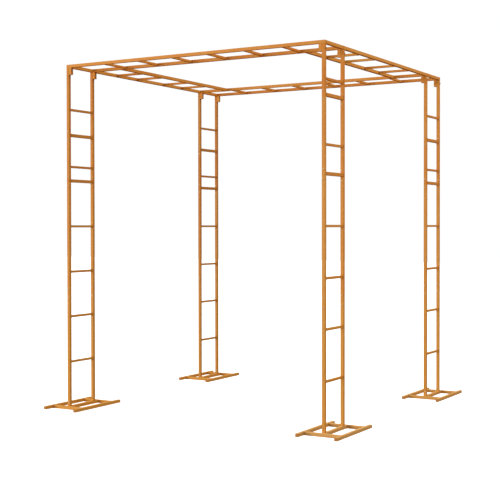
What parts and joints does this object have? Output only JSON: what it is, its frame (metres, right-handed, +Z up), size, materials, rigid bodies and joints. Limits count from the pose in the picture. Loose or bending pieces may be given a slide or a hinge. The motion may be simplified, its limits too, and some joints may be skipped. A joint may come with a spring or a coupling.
{
  "type": "climbing frame",
  "caption": "Square climbing frame of ladders: four ladder legs on flat feet carry a square ring of overhead ladder beams, all in square steel tube.",
  "frame": {"origin": "on the floor, at the middle of the rectangle around the four feet", "axes": "+Z up, +X to the right along the front beam, +Y from the front beam to the back beam"},
  "size_m": [2.324, 2.23, 2.459],
  "materials": {
    "frame_paint": "satin",
    "plug_orange": "matte",
    "zinc": "satin"
  },
  "bodies": {
    "root": {"front_left_foot_skids": "frame_paint", "front_left_foot_cross_bars": "frame_paint", "front_left_foot_middle_bar": "frame_paint", "back_left_foot_skids": "frame_paint", "back_left_foot_cross_bars": "frame_paint", "back_left_foot_middle_bar": "frame_paint", "front_right_foot_skids": "frame_paint", "front_right_foot_cross_bars": "frame_paint", "front_right_foot_middle_bar": "frame_paint", "back_right_foot_skids": "frame_paint", "back_right_foot_cross_bars": "frame_paint", "back_right_foot_middle_bar": "frame_paint", "front_left_lower_uprights": "frame_paint", "front_left_middle_uprights": "frame_paint", "front_left_short_uprights": "frame_paint", "front_left_long_uprights": "frame_paint", "back_left_lower_uprights": "frame_paint", "back_left_middle_uprights": "frame_paint", "back_left_short_uprights": "frame_paint", "back_left_long_uprights": "frame_paint", "front_right_lower_uprights": "frame_paint", "front_right_middle_uprights": "frame_paint", "front_right_short_uprights": "frame_paint", "front_right_long_uprights": "frame_paint", "back_right_lower_uprights": "frame_paint", "back_right_middle_uprights": "frame_paint", "back_right_short_uprights": "frame_paint", "back_right_long_uprights": "frame_paint", "front_left_lower_rungs": "frame_paint", "front_left_middle_rungs": "frame_paint", "front_left_short_rungs": "frame_paint", "front_left_long_rungs": "frame_paint", "back_left_lower_rungs": "frame_paint", "back_left_middle_rungs": "frame_paint", "back_left_short_rungs": "frame_paint", "back_left_long_rungs": "frame_paint", "front_right_lower_rungs": "frame_paint", "front_right_middle_rungs": "frame_paint", "front_right_short_rungs": "frame_paint", "front_right_long_rungs": "frame_paint", "back_right_lower_rungs": "frame_paint", "back_right_middle_rungs": "frame_paint", "back_right_short_rungs": "frame_paint", "back_right_long_rungs": "frame_paint", "front_beam_rails": "frame_paint", "back_beam_rails": "frame_paint", "front_beam_rungs": "frame_paint", "back_beam_rungs": "frame_paint", "left_beam_rails": "frame_paint", "right_beam_rails": "frame_paint", "left_beam_rungs": "frame_paint", "right_beam_rungs": "frame_paint", "leg_spigots": "frame_paint", "leg_screws": "zinc", "corner_stubs": "frame_paint", "corner_bolts": "zinc", "side_beam_spigots": "frame_paint", "side_beam_screws": "zinc", "rail_end_plates": "frame_paint", "skid_plugs": "plug_orange"}
  },
  "joints": []
}
